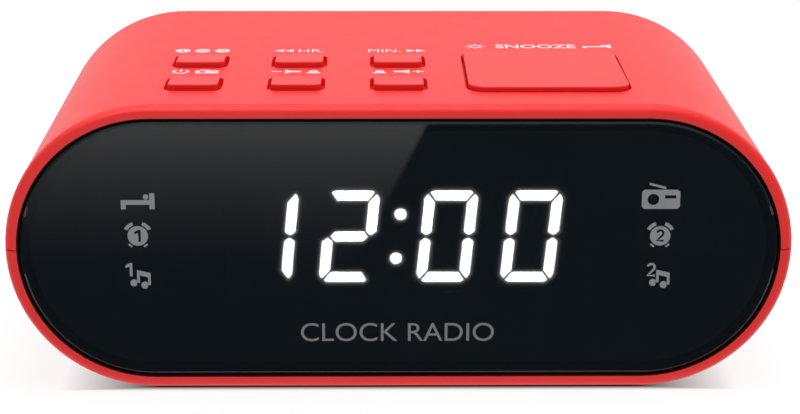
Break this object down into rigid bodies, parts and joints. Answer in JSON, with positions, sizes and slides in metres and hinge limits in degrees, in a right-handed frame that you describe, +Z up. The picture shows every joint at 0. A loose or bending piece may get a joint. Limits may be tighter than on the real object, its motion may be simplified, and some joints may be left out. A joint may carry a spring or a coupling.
{
  "type": "clock radio",
  "caption": "Bedside clock radio with a round-ended red case, a dark front window over an LED clock, keys on top, a rear loudspeaker and a sliding battery door.",
  "frame": {"origin": "on the table, under the middle of the case (bottom centre of the bounding box)", "axes": "+X to the right of a person facing the window, along the case; +Y from the window to the rear panel; +Z up"},
  "size_m": [0.1858, 0.106, 0.0721],
  "materials": {
    "red_shell": "satin, very fine grain",
    "red_key": "satin",
    "smoked_window": "polished, dark smoked acrylic",
    "black_plastic": "moulded, dull",
    "lit_bar": "white light through a diffuser",
    "dark_bar": "unlit diffuser",
    "white_plastic": "translucent",
    "circuit_board": "solder mask",
    "chip_black": "moulded epoxy",
    "rubber": "dull",
    "foam": "closed-cell foam",
    "screw_steel": "zinc plated",
    "spring_steel": "nickel plated",
    "tin_plate": "tin plated",
    "ferrite": "fired",
    "paper_cone": "pressed paper",
    "copper": "enamelled wire",
    "cell_jacket": "plain printed sleeve, no lettering",
    "lead_jacket": "insulated wire",
    "ribbon": "flat flexible cable"
  },
  "bodies": {
    "case": {"aerial_grommet": "rubber", "backup_cells": "cell_jacket", "battery_contacts": "spring_steel", "battery_leads": "lead_jacket", "board_chips": "chip_black", "board_screws": "screw_steel", "board_sockets": "white_plastic", "capacitors": "cell_jacket", "case_screws": "screw_steel", "clock_board": "circuit_board", "clock_driver": "chip_black", "clock_housing": "black_plastic", "clock_pins": "spring_steel", "clock_ribbon": "ribbon", "colon_dots": "lit_bar", "dark_segments": "dark_bar", "display_window": "smoked_window", "feet": "rubber", "front_carrier": "black_plastic", "key_board": "circuit_board", "key_ribbon": "ribbon", "lit_segments": "lit_bar", "lower_shell": "red_shell", "magnet_plate": "tin_plate", "magnet_yoke": "tin_plate", "main_board": "circuit_board", "power_socket": "black_plastic", "rear_panel": "red_shell", "socket_pin": "spring_steel", "speaker_basket": "tin_plate", "speaker_gasket": "foam", "speaker_leads": "lead_jacket", "speaker_magnet": "ferrite", "speaker_screws": "screw_steel", "switch_bodies": "black_plastic", "symbol_diffusers": "white_plastic", "symbol_lamps": "white_plastic", "tuner_shield": "tin_plate", "upper_shell": "red_shell", "window_tape": "foam"},
    "power_key": {"power_key": "red_key", "power_plunger": "black_plastic"},
    "alarm_key": {"alarm_key": "red_key", "alarm_plunger": "black_plastic"},
    "volume_down_key": {"volume_down_key": "red_key", "volume_down_plunger": "black_plastic"},
    "hour_key": {"hour_key": "red_key", "hour_plunger": "black_plastic"},
    "volume_up_key": {"volume_up_key": "red_key", "volume_up_plunger": "black_plastic"},
    "minute_key": {"minute_key": "red_key", "minute_plunger": "black_plastic"},
    "snooze_key": {"snooze_key": "red_key", "snooze_plungers": "black_plastic"},
    "battery_door": {"battery_door": "red_shell"},
    "speaker_cone": {"speaker_cone": "paper_cone", "cone_surround": "foam", "dust_cap": "paper_cone", "voice_coil": "copper"}
  },
  "joints": [
    {"name": "power_press", "type": "slide", "parent": "case", "child": "power_key", "axis": [0, 0, -1], "range_m": [0, 0.001], "stiffness_N_per_m": 1500, "springref_m": -0.0003},
    {"name": "alarm_press", "type": "slide", "parent": "case", "child": "alarm_key", "axis": [0, 0, -1], "range_m": [0, 0.001], "stiffness_N_per_m": 1500, "springref_m": -0.0003},
    {"name": "volume_down_press", "type": "slide", "parent": "case", "child": "volume_down_key", "axis": [0, 0, -1], "range_m": [0, 0.001], "stiffness_N_per_m": 1500, "springref_m": -0.0003},
    {"name": "hour_press", "type": "slide", "parent": "case", "child": "hour_key", "axis": [0, 0, -1], "range_m": [0, 0.001], "stiffness_N_per_m": 1500, "springref_m": -0.0003},
    {"name": "volume_up_press", "type": "slide", "parent": "case", "child": "volume_up_key", "axis": [0, 0, -1], "range_m": [0, 0.001], "stiffness_N_per_m": 1500, "springref_m": -0.0003},
    {"name": "minute_press", "type": "slide", "parent": "case", "child": "minute_key", "axis": [0, 0, -1], "range_m": [0, 0.001], "stiffness_N_per_m": 1500, "springref_m": -0.0003},
    {"name": "snooze_press", "type": "slide", "parent": "case", "child": "snooze_key", "axis": [0, 0, -1], "range_m": [0, 0.001], "stiffness_N_per_m": 2400, "springref_m": -0.0003},
    {"name": "battery_door_slide", "type": "slide", "parent": "case", "child": "battery_door", "axis": [0, 1, 0], "range_m": [0, 0.04]},
    {"name": "cone_travel", "type": "slide", "parent": "case", "child": "speaker_cone", "axis": [0, 1, 0], "range_m": [-0.0004, 0.0004], "stiffness_N_per_m": 1800}
  ]
}
